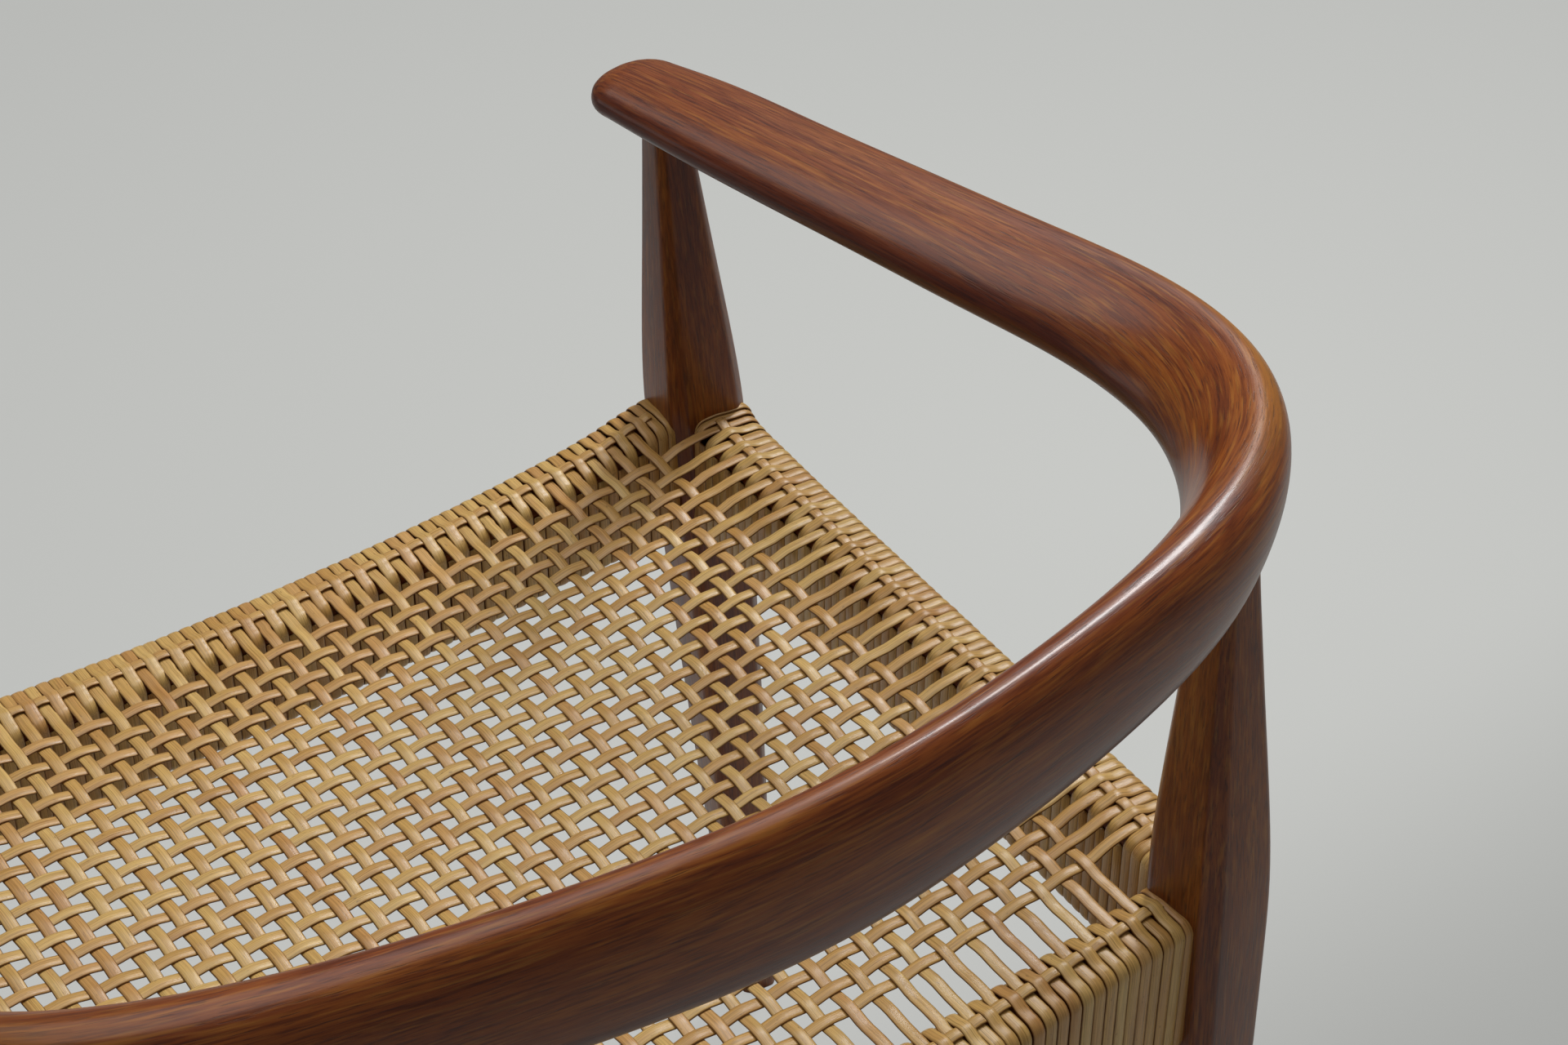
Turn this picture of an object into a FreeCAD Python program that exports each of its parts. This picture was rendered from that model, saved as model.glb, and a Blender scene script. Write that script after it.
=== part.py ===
import FreeCAD, Part
import os
import Sketcher

os.makedirs("parts", exist_ok=True)
doc = FreeCAD.newDocument("horseshoe_armchair")

# Driving sizes in millimetres and degrees. The chair faces -Y and stands on z = 0,
# and its right side is the sitter's right, at -X.
sheet = doc.addObject("Spreadsheet::Sheet", "Sizes")
sizes = {
    "EndReach": 20.0,
    "LegSeatSide": 43.2,
    "LegChamfer": 0.155,
    "LegSeatUp": 452.0,
    "LegTopUp": 646.0,
    "FrontLegAcross": -261.6,
    "FrontLegAlong": -220.7,
    "FrontLegLeanOut": 0.073,
    "FrontLegLeanBack": 0.003,
    "FrontLegTurn": -6.0,
    "RearLegAcross": -247.5,
    "RearLegAlong": 186.3,
    "RearLegLeanOut": 0.01,
    "RearLegLeanBack": 0.045,
    "RearLegTurn": 4.5,
    "RailTop": 455.0,
    "RearRailTop": 452.0,
    "RailTall": 62.0,
    "RailWide": 32.0,
    "CaneWrap": 2.6,
    "RailRound": 8.0,
    "FrontRailAlong": -227.9,
    "RearRailAlong": 185.5,
    "RailHalfLong": 252.0,
    "RearRailHalfLong": 240.0,
    "FrontRailDip": 20.0,
    "RearRailDip": 17.0,
    "SideRailAcross": -266.3,
    "SideRailStart": -207.0,
    "SideRailLong": 385.0,
    "SideRailSplay": 2.6,
    "TenonThick": 10.0,
    "TenonTall": 38.0,
    "TenonDeep": 13.0,
    "TenonShoulder": 8.0,
    "BinderWide": 5.0,
    "BinderThick": 1.8,
    "SeatSink": 4.5,
    "SeatThick": 3.2,
    "JointAcross": -165.0,
    "JointFinger": 13.0,
    "JointLow": 608.0,
    "JointStep": 16.0,
    "JointReach": 420.0,
}

# The bent rail's sections, from the arm's tip to the middle of the back: centre,
# half width, half thickness, heading of the outward side, and twist out of flat.
station_names = ("Tip", "Post", "Fore", "Span", "Aft", "Swell",
                 "Turn", "Corner", "Shoulder", "Flank", "Back", "Middle")
station_parts = ("Across", "Along", "Up", "Wide", "Thick", "Yaw", "Twist")
stations = (
    (-244.3, -237.9, 639.9, 26.3, 10.9, 194.0, -3.6),
    (-251.6, -205.4, 640.4, 28.3, 11.5, 192.6, -0.2),
    (-262.5, -152.4, 640.7, 30.6, 12.3, 190.1, 1.5),
    (-275.8, -85.6, 641.4, 30.5, 12.6, 191.4, 5.7),
    (-289.3, -16.2, 642.6, 29.5, 12.9, 191.1, 13.0),
    (-299.9, 50.4, 644.4, 28.0, 13.7, 183.9, 25.3),
    (-293.5, 110.6, 646.6, 27.3, 14.9, 161.6, 44.5),
    (-263.1, 161.0, 648.8, 28.6, 16.2, 137.8, 63.6),
    (-213.8, 199.4, 651.6, 30.4, 17.3, 118.5, 80.8),
    (-148.3, 224.8, 653.3, 31.9, 15.3, 105.9, 90.0),
    (-75.0, 240.2, 655.0, 33.5, 13.8, 97.8, 92.0),
    (0.0, 246.7, 656.2, 35.6, 12.9, 90.0, 92.0),
)
for station, values in zip(station_names, stations):
    for part, value in zip(station_parts, values):
        sizes[station + part] = value
for row, (alias, value) in enumerate(sizes.items(), start=1):
    sheet.set("A%d" % row, alias)
    sheet.set("B%d" % row, str(value))
    sheet.setAlias("B%d" % row, alias)
doc.recompute()


def cell(text):
    """Put the sheet's name before every alias in an expression."""
    words = []
    word = ""
    for letter in text + " ":
        if letter.isalpha():
            word += letter
            continue
        words.append("Sizes." + word if word in sizes else word)
        words.append(letter)
        word = ""
    return "".join(words).strip()


def bind(item, **bindings):
    for name, text in bindings.items():
        item.setExpression(name, cell(text))


def place(item, across, along, up, yaw="0", pitch="0", roll="0", name="Placement"):
    text = "placement(vector(%s; %s; %s); rotation(%s; %s; %s))"
    item.setExpression(name, cell(text % (across, along, up, yaw, pitch, roll)))


def plane(body, role):
    return next(item for item in body.Origin.OriginFeatures if item.Role == role)


def outline(body, role, name, corners, arcs=None):
    """A closed sketch through bound corners; arcs gives a side's radius and its sagging."""
    sketch = body.newObject("Sketcher::SketchObject", name)
    sketch.AttachmentSupport = [(plane(body, role), "")]
    sketch.MapMode = "FlatFace"
    arcs = arcs or {}
    known = []
    for pair in corners:
        known.append(FreeCAD.Vector(number(pair[0]), number(pair[1])))
    count = len(corners)
    for side in range(count):
        start = known[side]
        end = known[(side + 1) % count]
        if side in arcs:
            middle = (start + end) * 0.5 - FreeCAD.Vector(0, number(arcs[side]))
            sketch.addGeometry(Part.Arc(start, middle, end))
        else:
            sketch.addGeometry(Part.LineSegment(start, end))
    first_end = {}
    for side in range(count):
        flips = side in arcs and known[side].x > known[(side + 1) % count].x
        first_end[side] = (2, 1) if flips else (1, 2)
    for side in range(count):
        follower = (side + 1) % count
        sketch.addConstraint(Sketcher.Constraint(
            "Coincident", side, first_end[side][1], follower, first_end[follower][0]))
    for side in range(count):
        for kind, text, value in (("DistanceX", corners[side][0], known[side].x),
                                  ("DistanceY", corners[side][1], known[side].y)):
            index = sketch.addConstraint(Sketcher.Constraint(kind, side, first_end[side][0], value))
            sketch.setExpression("Constraints[%d]" % index, cell(text))
    for side, dip in arcs.items():
        start = known[side]
        end = known[(side + 1) % count]
        half = abs(end.x - start.x) / 2
        radius = (half * half + number(dip) ** 2) / (2 * number(dip))
        index = sketch.addConstraint(Sketcher.Constraint("Radius", side, radius))
        text = "((%s) * (%s) + (%s) * (%s)) / (2 * (%s))"
        reach = corners[side][0].lstrip("-")
        sketch.setExpression("Constraints[%d]" % index, cell(text % (reach, reach, dip, dip, dip)))
    return sketch


def number(text):
    """The present value of a bound text, for a sketch's first guess."""
    probe = doc.getObject("Probe") or doc.addObject("App::FeaturePython", "Probe")
    if "Guess" not in probe.PropertiesList:
        probe.addProperty("App::PropertyFloat", "Guess")
    probe.setExpression("Guess", cell(text))
    probe.recompute()
    return probe.Guess


def symmetric(pad):
    if "SideType" in pad.PropertiesList:
        pad.SideType = "Symmetric"
    else:
        pad.Midplane = True


def long_edges(feature, least):
    names = []
    for index, edge in enumerate(feature.Shape.Edges, start=1):
        if edge.Length > least:
            names.append("Edge%d" % index)
    return names


def boolean(kind, name, base, tools):
    """Cut or Common of one base with one tool; several tools are fused first."""
    if len(tools) > 1:
        fused = doc.addObject("Part::MultiFuse", name + "Tools")
        fused.Shapes = tools
        tool = fused
    else:
        tool = tools[0]
    item = doc.addObject(kind, name)
    item.Base = base
    item.Tool = tool
    return item


def mirror(name, source):
    item = doc.addObject("Part::Mirroring", name)
    item.Source = source
    item.Normal = FreeCAD.Vector(1, 0, 0)
    item.Base = FreeCAD.Vector(0, 0, 0)
    return item


# Bent top rail: one loft through ellipses that start flat at the rounded end of the
# arm, swell and stand up round the corner, and run upright along the back.
def ellipse(name, across, along, up, wide, thick, yaw, twist):
    item = doc.addObject("Part::Ellipse", name)
    bind(item, MajorRadius=wide, MinorRadius=thick)
    place(item, across, along, up, yaw, "-(%s)" % twist, "90")
    return item


end_shares = ((1.0, 0.36, 0.32), (0.86, 0.68, 0.68), (0.5, 0.93, 0.92))


def station_ring(side, station, sign, heading):
    return ellipse(side + station, sign + station + "Across", station + "Along", station + "Up",
                   station + "Wide", station + "Thick", heading % (station + "Yaw"),
                   station + "Twist")


def half_rail(side, sign, heading, names):
    rings = []
    for index, (reach, wide, thick) in enumerate(end_shares):
        rings.append(ellipse(
            side + "End%d" % index,
            "%s(TipAcross - EndReach * %s * sin(TipYaw * 1deg))" % (sign, reach),
            "TipAlong + EndReach * %s * cos(TipYaw * 1deg)" % reach,
            "TipUp", "TipWide * %s" % wide, "TipThick * %s" % thick,
            heading % "TipYaw", "TipTwist"))
    return rings + [station_ring(side, station, sign, heading) for station in names]


def loft(name, rings):
    item = doc.addObject("Part::Loft", name)
    item.Sections = rings
    item.Solid = True
    item.Ruled = False
    return item


# The arm's loft runs on past the finger joint, and the back's starts before it, so
# both follow the same sections where they meet.
right_rings = half_rail("Right", "", "%s", station_names[:-2])
arm_loft = loft("ArmLoft", right_rings)
back_names = station_names[-4:]
back_rings = [station_ring("BackRight", station, "", "%s") for station in back_names]
back_rings += [station_ring("BackLeft", station, "-", "180 - %s") for station in back_names[-2::-1]]
back_loft = loft("BackLoft", back_rings)

# Legs: eight-sided lofts, widest at the seat and slim under the rail, turned a little
# about their own length so that a sharp ridge looks into the seat.
leg_side_shares = (0.521, 0.579, 0.647, 0.715, 0.779, 0.838, 0.892,
                   0.942, 0.982, 1.002, 0.904, 0.725, 0.547, 0.398)


def leg(name, prefix):
    body = doc.addObject("PartDesign::Body", name)
    sections = []
    last = len(leg_side_shares) - 1
    for level, share in enumerate(leg_side_shares):
        up = "LegTopUp * %s / %s" % (level, last)
        side = "LegSeatSide * %s" % share
        flat = "%s * (0.5 - LegChamfer)" % side
        edge = "%s * 0.5" % side
        corners = ((flat, "-" + edge), (edge, "-" + flat), (edge, flat), (flat, edge),
                   ("-" + flat, edge), ("-" + edge, flat), ("-" + edge, "-" + flat),
                   ("-" + flat, "-" + edge))
        sketch = outline(body, "XY_Plane", "%sLevel%d" % (name, level), corners)
        rise = "(%s - LegSeatUp)" % up
        place(sketch, "%sAcross + %sLeanOut * %s" % (prefix, prefix, rise),
              "%sAlong - %sLeanBack * %s" % (prefix, prefix, rise), up,
              prefix + "Turn", name="AttachmentOffset")
        sections.append(sketch)
    loft = body.newObject("PartDesign::AdditiveLoft", name + "Loft")
    loft.Profile = sections[0]
    loft.Sections = sections[1:]
    loft.Ruled = False
    return body


front_leg = leg("FrontLegBlank", "FrontLeg")
rear_leg = leg("RearLegBlank", "RearLeg")
front_leg_left = mirror("FrontLegBlankLeft", front_leg)
rear_leg_left = mirror("RearLegBlankLeft", rear_leg)
doc.recompute()


# Seat rails: the front and rear ones dip in the middle, the side ones are straight.
# Each is a bare wooden core, bevelled under its cane, with a tenon at each end.
def ease(body, pad, least, eased):
    """Bevel or round the long edges of a rail."""
    if eased is None:
        return
    kind, size = eased
    item = body.newObject("PartDesign::" + kind, body.Name + kind)
    item.Base = (pad, long_edges(pad, least))
    bind(item, **{"Radius" if kind == "Fillet" else "Size": size})


def dipped(name, along, top, bottom, wide, half, dip, eased=None):
    body = doc.addObject("PartDesign::Body", name)
    corners = (("-" + half, bottom), (half, bottom), (half, top), ("-" + half, top))
    sketch = outline(body, "XZ_Plane", name + "Face", corners, {0: dip, 2: dip})
    pad = body.newObject("PartDesign::Pad", name + "Pad")
    pad.Profile = sketch
    bind(pad, Length=wide)
    symmetric(pad)
    place(body, "0", along, "0")
    doc.recompute()
    ease(body, pad, number(half), eased)
    return body


def straight(name, top, bottom, wide, eased=None):
    body = doc.addObject("PartDesign::Body", name)
    half = "(%s) / 2" % wide
    corners = (("-" + half, bottom), (half, bottom), (half, top), ("-" + half, top))
    sketch = outline(body, "XZ_Plane", name + "End", corners)
    pad = body.newObject("PartDesign::Pad", name + "Pad")
    pad.Profile = sketch
    pad.Reversed = True
    bind(pad, Length="SideRailLong")
    place(body, "SideRailAcross", "SideRailStart", "0", "-SideRailSplay")
    doc.recompute()
    ease(body, pad, number("SideRailLong / 2"), eased)
    return body


def tenon(name, across, along, up, yaw, out_x, out_y):
    """A tenon block whose long side lies along X or Y of its own frame."""
    box = doc.addObject("Part::Box", name)
    bind(box, Length=out_x, Width=out_y, Height="TenonTall")
    place(box, across, along, up, yaw)
    return box


core = "CaneWrap"
core_wide = "RailWide - 2 * CaneWrap"
core_bevel = ("Chamfer", "RailRound - CaneWrap")
wound_round = ("Fillet", "RailRound")
front_blank = dipped("FrontCore", "FrontRailAlong", "RailTop - CaneWrap",
                     "RailTop - RailTall + CaneWrap", core_wide, "RailHalfLong",
                     "FrontRailDip", core_bevel)
rear_blank = dipped("RearCore", "RearRailAlong", "RearRailTop - CaneWrap",
                    "RearRailTop - RailTall + CaneWrap", core_wide, "RearRailHalfLong",
                    "RearRailDip", core_bevel)
side_blank = straight("SideCore", "RailTop - CaneWrap", "RailTop - RailTall + CaneWrap",
                      core_wide, core_bevel)
front_skin = dipped("FrontSkin", "FrontRailAlong", "RailTop", "RailTop - RailTall", "RailWide",
                    "RailHalfLong", "FrontRailDip", wound_round)
rear_skin = dipped("RearSkin", "RearRailAlong", "RearRailTop", "RearRailTop - RailTall",
                   "RailWide", "RearRailHalfLong", "RearRailDip", wound_round)
side_skin = straight("SideSkin", "RailTop", "RailTop - RailTall", "RailWide", wound_round)

tenon_up = "RailTop - RailTall / 2 - TenonTall / 2"
face_share = 0.5
front_tenon_end = "FrontLegAcross + LegSeatSide * %s - TenonDeep" % face_share
front_tenon_long = "TenonDeep + TenonShoulder"
front_tenon = tenon("FrontTenon", front_tenon_end, "FrontRailAlong - TenonThick / 2",
                    tenon_up, "0", front_tenon_long, "TenonThick")
rear_tenon_end = "RearLegAcross + LegSeatSide * %s - TenonDeep" % face_share
rear_tenon = tenon("RearTenon", rear_tenon_end, "RearRailAlong - TenonThick / 2",
                   tenon_up, "0", front_tenon_long, "TenonThick")
fore_along = "(FrontLegAlong + LegSeatSide * %s - TenonDeep)" % face_share
fore_tenon = tenon("ForeTenon",
                   "SideRailAcross - TenonThick / 2 + (%s - SideRailStart) * sin(SideRailSplay * 1deg)"
                   % fore_along, fore_along, tenon_up, "-SideRailSplay", "TenonThick",
                   front_tenon_long)
aft_along = "(RearLegAlong - LegSeatSide * %s - TenonShoulder)" % face_share
aft_tenon = tenon("AftTenon",
                  "SideRailAcross - TenonThick / 2 + (%s - SideRailStart) * sin(SideRailSplay * 1deg)"
                  % aft_along, aft_along, tenon_up, "-SideRailSplay", "TenonThick",
                  front_tenon_long)

front_core = boolean("Part::Cut", "FrontCoreFitted", front_blank, [front_leg, front_leg_left])
rear_core = boolean("Part::Cut", "RearCoreFitted", rear_blank, [rear_leg, rear_leg_left])
side_core = boolean("Part::Cut", "SideCoreFitted", side_blank, [front_leg, rear_leg])


def fuse(name, pieces):
    item = doc.addObject("Part::MultiFuse", name)
    item.Shapes = pieces
    item.Refine = True
    return item


front_rail = fuse("front_seat_rail", [front_core, front_tenon, mirror("FrontTenonLeft", front_tenon)])
rear_rail = fuse("rear_seat_rail", [rear_core, rear_tenon, mirror("RearTenonLeft", rear_tenon)])
side_rail = fuse("side_seat_rail_right", [side_core, fore_tenon, aft_tenon])
side_rail_left = mirror("side_seat_rail_left", side_rail)

# Finished legs: each has the mortises of its two seat rails.
leg_front_right = boolean("Part::Cut", "leg_front_right", front_leg, [front_tenon, fore_tenon])
leg_rear_right = boolean("Part::Cut", "leg_rear_right", rear_leg, [rear_tenon, aft_tenon])
leg_front_left = mirror("leg_front_left", leg_front_right)
leg_rear_left = mirror("leg_rear_left", leg_rear_right)

# Arms and back piece: the rail is sawn on an interlocking finger line behind each
# rear leg, and each leg's top is let into a socket in the arm's underside.
comb = doc.addObject("PartDesign::Body", "FingerSaw")
comb_corners = [("JointAcross - JointReach", "JointLow - JointStep"),
                ("JointAcross", "JointLow - JointStep")]
finger_count = 6
for finger in range(finger_count):
    across = "JointAcross + JointFinger" if finger % 2 == 0 else "JointAcross - JointFinger"
    comb_corners.append((across, "JointLow + JointStep * %s" % (finger + 0.5)))
comb_corners.append(("JointAcross", "JointLow + JointStep * %s" % (finger_count + 1)))
comb_corners.append(("JointAcross - JointReach", "JointLow + JointStep * %s" % (finger_count + 1)))
comb_sketch = outline(comb, "XZ_Plane", "FingerLine", comb_corners)
comb_pad = comb.newObject("PartDesign::Pad", "FingerPad")
comb_pad.Profile = comb_sketch
bind(comb_pad, Length="JointReach * 2")
symmetric(comb_pad)
comb_left = mirror("FingerSawLeft", comb)
arm_blank = boolean("Part::Common", "ArmBlank", arm_loft, [comb])
arm_right = boolean("Part::Cut", "arm_right", arm_blank, [front_leg, rear_leg])
arm_left = mirror("arm_left", arm_right)
back_rail = boolean("Part::Cut", "back_rail", back_loft, [comb, comb_left])

# Cane wound round each rail: a close sleeve between the legs.
wrap_front = boolean("Part::Cut", "cane_wrap_front", front_skin,
                     [front_blank, front_leg, front_leg_left])
wrap_rear = boolean("Part::Cut", "cane_wrap_rear", rear_skin,
                    [rear_blank, rear_leg, rear_leg_left])
wrap_right = boolean("Part::Cut", "cane_wrap_right", side_skin, [side_blank, front_leg, rear_leg])
wrap_left = mirror("cane_wrap_left", wrap_right)

# Binder cane: a flat strip that lies along the top of each wound rail.
binder_front_blank = dipped("FrontStrip", "FrontRailAlong", "RailTop + BinderThick", "RailTop",
                            "BinderWide", "RailHalfLong", "FrontRailDip")
binder_rear_blank = dipped("RearStrip", "RearRailAlong", "RearRailTop + BinderThick",
                           "RearRailTop", "BinderWide", "RearRailHalfLong", "RearRailDip")
binder_side_blank = straight("SideStrip", "RailTop + BinderThick", "RailTop", "BinderWide")
binder_front = boolean("Part::Cut", "binder_cane_front", binder_front_blank,
                       [front_leg, front_leg_left])
binder_rear = boolean("Part::Cut", "binder_cane_rear", binder_rear_blank,
                      [rear_leg, rear_leg_left])
binder_right = boolean("Part::Cut", "binder_cane_right", binder_side_blank, [front_leg, rear_leg])
binder_left = mirror("binder_cane_left", binder_right)

# Woven seat: an openwork sheet that dips across its middle and meets the inner face
# of every wound rail. Its openings stand for pairs of the woven ones.
seat_body = doc.addObject("PartDesign::Body", "SeatSheet")
seat_profiles = []
inner_front = "(FrontRailAlong + RailWide / 2)"
inner_rear = "(RearRailAlong - RailWide / 2)"
inner_side = ("(SideRailAcross + RailWide / 2 / cos(SideRailSplay * 1deg)"
              " + (%s - SideRailStart) * tan(SideRailSplay * 1deg))")
for name, along, top, dip in (("SeatFront", inner_front, "RailTop", "FrontRailDip"),
                              ("SeatRear", inner_rear, "RearRailTop", "RearRailDip")):
    half = "(-%s)" % (inner_side % along)
    high = "%s - SeatSink" % top
    low = "%s - SeatSink - SeatThick" % top
    corners = (("-" + half, low), (half, low), (half, high), ("-" + half, high))
    sketch = outline(seat_body, "XZ_Plane", name, corners, {0: dip, 2: dip})
    place(sketch, "0", "0", "-" + along, name="AttachmentOffset")
    seat_profiles.append(sketch)
seat_loft = seat_body.newObject("PartDesign::AdditiveLoft", "SeatLoft")
seat_loft.Profile = seat_profiles[0]
seat_loft.Sections = [seat_profiles[1]]
seat_loft.Ruled = True
doc.recompute()

columns = 17
rows = 14
strand_share = 0.36
front_y = number(inner_front)
rear_y = number(inner_rear)
front_half = -number(inner_side % inner_front)
rear_half = -number(inner_side % inner_rear)
net_low = number("RailTop - RailTall")
net_tall = number("RailTall + RailTall")


def net_corner(column, row):
    """A place in the seat's plan, counted in columns across and rows back."""
    share = row / rows
    half = front_half + (rear_half - front_half) * share
    return FreeCAD.Vector(half * (2 * column / columns - 1), front_y + (rear_y - front_y) * share,
                          net_low)


def net_wire(left, right, near, far):
    places = [net_corner(left, near), net_corner(right, near), net_corner(right, far),
              net_corner(left, far)]
    return Part.makePolygon(places + places[:1])


half_strand = strand_share / 2
openings = []
for column in range(columns):
    for row in range(rows):
        openings.append(net_wire(column + half_strand, column + 1 - half_strand,
                                 row + half_strand, row + 1 - half_strand))
net_face = Part.makeFace([net_wire(0, columns, 0, rows)] + openings, "Part::FaceMakerCheese")
net = doc.addObject("Part::Feature", "SeatNet")
net.Shape = net_face.extrude(FreeCAD.Vector(0, 0, net_tall))
seat_mesh = boolean("Part::Common", "SeatMesh", net, [seat_body])
seat = boolean("Part::Cut", "cane_seat", seat_mesh,
               [front_leg, rear_leg, front_leg_left, rear_leg_left])

doc.recompute()
finished = (arm_right, arm_left, back_rail, leg_front_right, leg_front_left, leg_rear_right,
            leg_rear_left, front_rail, rear_rail, side_rail, side_rail_left, wrap_front, wrap_rear,
            wrap_right, wrap_left, binder_front, binder_rear, binder_right, binder_left, seat)
for item in doc.Objects:
    faults = [state for state in item.State if state in ("Invalid", "Error")]
    if faults:
        raise RuntimeError("%s is %s" % (item.Name, faults))
for item in finished:
    item.Label = item.Name
    if item.Shape.isNull() or not item.Shape.isValid():
        raise RuntimeError("%s has no valid shape" % item.Name)
    if len(item.Shape.Solids) != 1:
        raise RuntimeError("%s has %d solids" % (item.Name, len(item.Shape.Solids)))
    item.Shape.exportStep("parts/%s.step" % item.Name)
    print(item.Name, round(item.Shape.Volume / 1000, 1), "cm3")
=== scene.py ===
import math
import bpy
import numpy as np
from mathutils import Matrix, Vector


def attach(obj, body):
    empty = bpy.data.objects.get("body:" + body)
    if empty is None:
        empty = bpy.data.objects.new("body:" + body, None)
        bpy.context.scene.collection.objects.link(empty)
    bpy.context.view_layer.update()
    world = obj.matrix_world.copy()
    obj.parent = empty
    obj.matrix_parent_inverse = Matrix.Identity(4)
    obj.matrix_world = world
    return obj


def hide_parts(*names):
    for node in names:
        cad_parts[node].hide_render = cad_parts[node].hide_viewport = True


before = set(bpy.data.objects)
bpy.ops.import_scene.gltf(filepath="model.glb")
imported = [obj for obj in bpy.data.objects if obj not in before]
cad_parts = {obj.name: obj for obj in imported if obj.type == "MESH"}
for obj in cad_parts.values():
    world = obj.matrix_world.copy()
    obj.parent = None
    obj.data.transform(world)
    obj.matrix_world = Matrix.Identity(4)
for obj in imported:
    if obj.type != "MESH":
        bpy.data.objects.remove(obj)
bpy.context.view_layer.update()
bpy.ops.object.select_all(action="DESELECT")
mm = 0.001


# Viewpoint: the chair is seen from behind its left side and from above,
# at the height of a standing person, with a long lens.
view_back = Vector((0.45656727, 0.63501448, 0.62313958))
view_right = Vector((-0.8119241, 0.58376302, 0.0))
view_up = Vector((-0.36376584, -0.50594204, 0.78211065))
bpy.ops.object.camera_add(location=(0.42827, 0.81621, 1.37086))
camera = bpy.context.object
camera.rotation_euler = Matrix((view_right, view_up, view_back)).transposed().to_euler()
camera.data.lens = 68.63
camera.data.sensor_width = 36.0
camera.data.sensor_fit = "HORIZONTAL"
bpy.context.scene.camera = camera


# Bent top rail: two arms and a back piece in solid teak, sawn and spokeshaved from
# thick blanks, glued end to end on finger joints and rubbed to a satin oil finish.
# Each row: centre, half width, half thickness, outward heading and twist out of flat,
# in mm and degrees, from the tip of one arm to the middle of the back.
rail_rows = [
    (-245.4, -238.2, 639.8, 27.5, 11.1, 194.3, -4.0),
    (-252.3, -205.4, 640.4, 29.2, 11.8, 192.9, -0.2),
    (-262.5, -152.4, 640.7, 30.6, 12.3, 190.1, 1.5),
    (-275.8, -85.6, 641.4, 30.5, 12.6, 191.4, 5.7),
    (-289.1, -16.2, 642.6, 29.8, 12.9, 191.1, 13.0),
    (-299.6, 50.4, 644.3, 28.6, 13.7, 183.9, 25.3),
    (-292.7, 110.3, 646.7, 28.4, 15.0, 161.6, 44.5),
    (-262.9, 160.9, 649.1, 30.0, 17.3, 137.8, 63.6),
    (-213.8, 199.3, 652.4, 31.8, 18.6, 118.5, 80.8),
    (-148.0, 224.0, 654.5, 33.2, 15.6, 105.9, 90.0),
    (-75.0, 239.8, 655.8, 34.3, 13.9, 97.8, 92.0),
    (0.0, 246.7, 656.2, 35.6, 12.9, 90.0, 92.0),
]
left_rows = [(-x, y, z, wide, thick, 180 - yaw, twist)
             for x, y, z, wide, thick, yaw, twist in rail_rows[-2::-1]]
rail_table = np.array(rail_rows + left_rows)
rail_steps = np.linalg.norm(np.diff(rail_table[:, :3], axis=0), axis=1)
rail_knots = np.concatenate(([0], np.cumsum(rail_steps)))
rail_end = rail_knots[-1]
tip_reach = 20.5
fair_share = 0.975
edge_power = 2.2
top_power = 2.45
under_power = 2.1
tip_broad_power = 2.1
tip_thin_power = 2.5


def fair_curve(knots, values, at):
    """A spoke-shaved fair line through the rows: a natural cubic spline."""
    count = len(knots)
    step = np.diff(knots)
    system = np.eye(count)
    pull = np.zeros((count, values.shape[1]))
    for row in range(1, count - 1):
        system[row, row - 1:row + 2] = (step[row - 1], 2 * (step[row - 1] + step[row]), step[row])
        pull[row] = 6 * ((values[row + 1] - values[row]) / step[row]
                         - (values[row] - values[row - 1]) / step[row - 1])
    bend = np.linalg.solve(system, pull)
    span = np.clip(np.searchsorted(knots, at) - 1, 0, count - 2)
    wide = step[span][:, None]
    left = (knots[span + 1] - at)[:, None]
    right = (at - knots[span])[:, None]
    return ((bend[span] * left ** 3 + bend[span + 1] * right ** 3) / (6 * wide)
            + (values[span] / wide - bend[span] * wide / 6) * left
            + (values[span + 1] / wide - bend[span + 1] * wide / 6) * right)


def rail_skin(along, turn):
    """Points of the rail's skin, in mm, from the length along it and the angle round it."""
    inside = np.clip(along, 0, rail_end)
    beyond = np.abs(along - inside) / tip_reach
    rows = fair_curve(rail_knots, rail_table, inside)
    yaw = np.radians(rows[:, 5])
    twist = np.radians(rows[:, 6])
    outward = np.stack([np.cos(yaw), np.sin(yaw), yaw * 0], 1)
    ahead = np.stack([np.sin(yaw), -np.cos(yaw), yaw * 0], 1)
    lift = np.array([0.0, 0.0, 1.0])
    broad = np.cos(twist)[:, None] * outward + np.sin(twist)[:, None] * lift
    thin = -np.sin(twist)[:, None] * outward + np.cos(twist)[:, None] * lift
    cos, sin = np.cos(turn), np.sin(turn)
    face_power = 2 / np.where(sin > 0, top_power, under_power)
    across = np.sign(cos) * np.abs(cos) ** (2 / edge_power) * rows[:, 3] * fair_share
    across = across * (1 - beyond ** tip_broad_power) ** 0.5
    deep = np.sign(sin) * np.abs(sin) ** face_power * rows[:, 4] * fair_share
    deep = deep * (1 - beyond ** tip_thin_power) ** 0.5
    centre = rows[:, :3] + (along - inside)[:, None] * ahead
    places = centre + across[:, None] * broad + deep[:, None] * thin
    return places, across, deep


def dress(name, places, faces, marks, mark_name, ridge_highlight=None):
    """A closed piece from its points in mm, with the lines that its grain follows."""
    mesh = bpy.data.meshes.new(name)
    mesh.from_pydata((places * mm).tolist(), [], faces)
    layer = mesh.attributes.new(mark_name, "FLOAT_VECTOR", "POINT")
    layer.data.foreach_set("vector", np.asarray(marks, np.float32).ravel())
    # An optional share of painted highlight for each point, kept as an attribute.
    if ridge_highlight is not None:
        painted_ridge = mesh.attributes.new("ridge_highlight", "FLOAT", "POINT")
        painted_ridge.data.foreach_set("value", np.asarray(ridge_highlight, np.float32))
    mesh.shade_smooth()
    piece = bpy.data.objects.new(name, mesh)
    bpy.context.scene.collection.objects.link(piece)
    return piece


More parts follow.
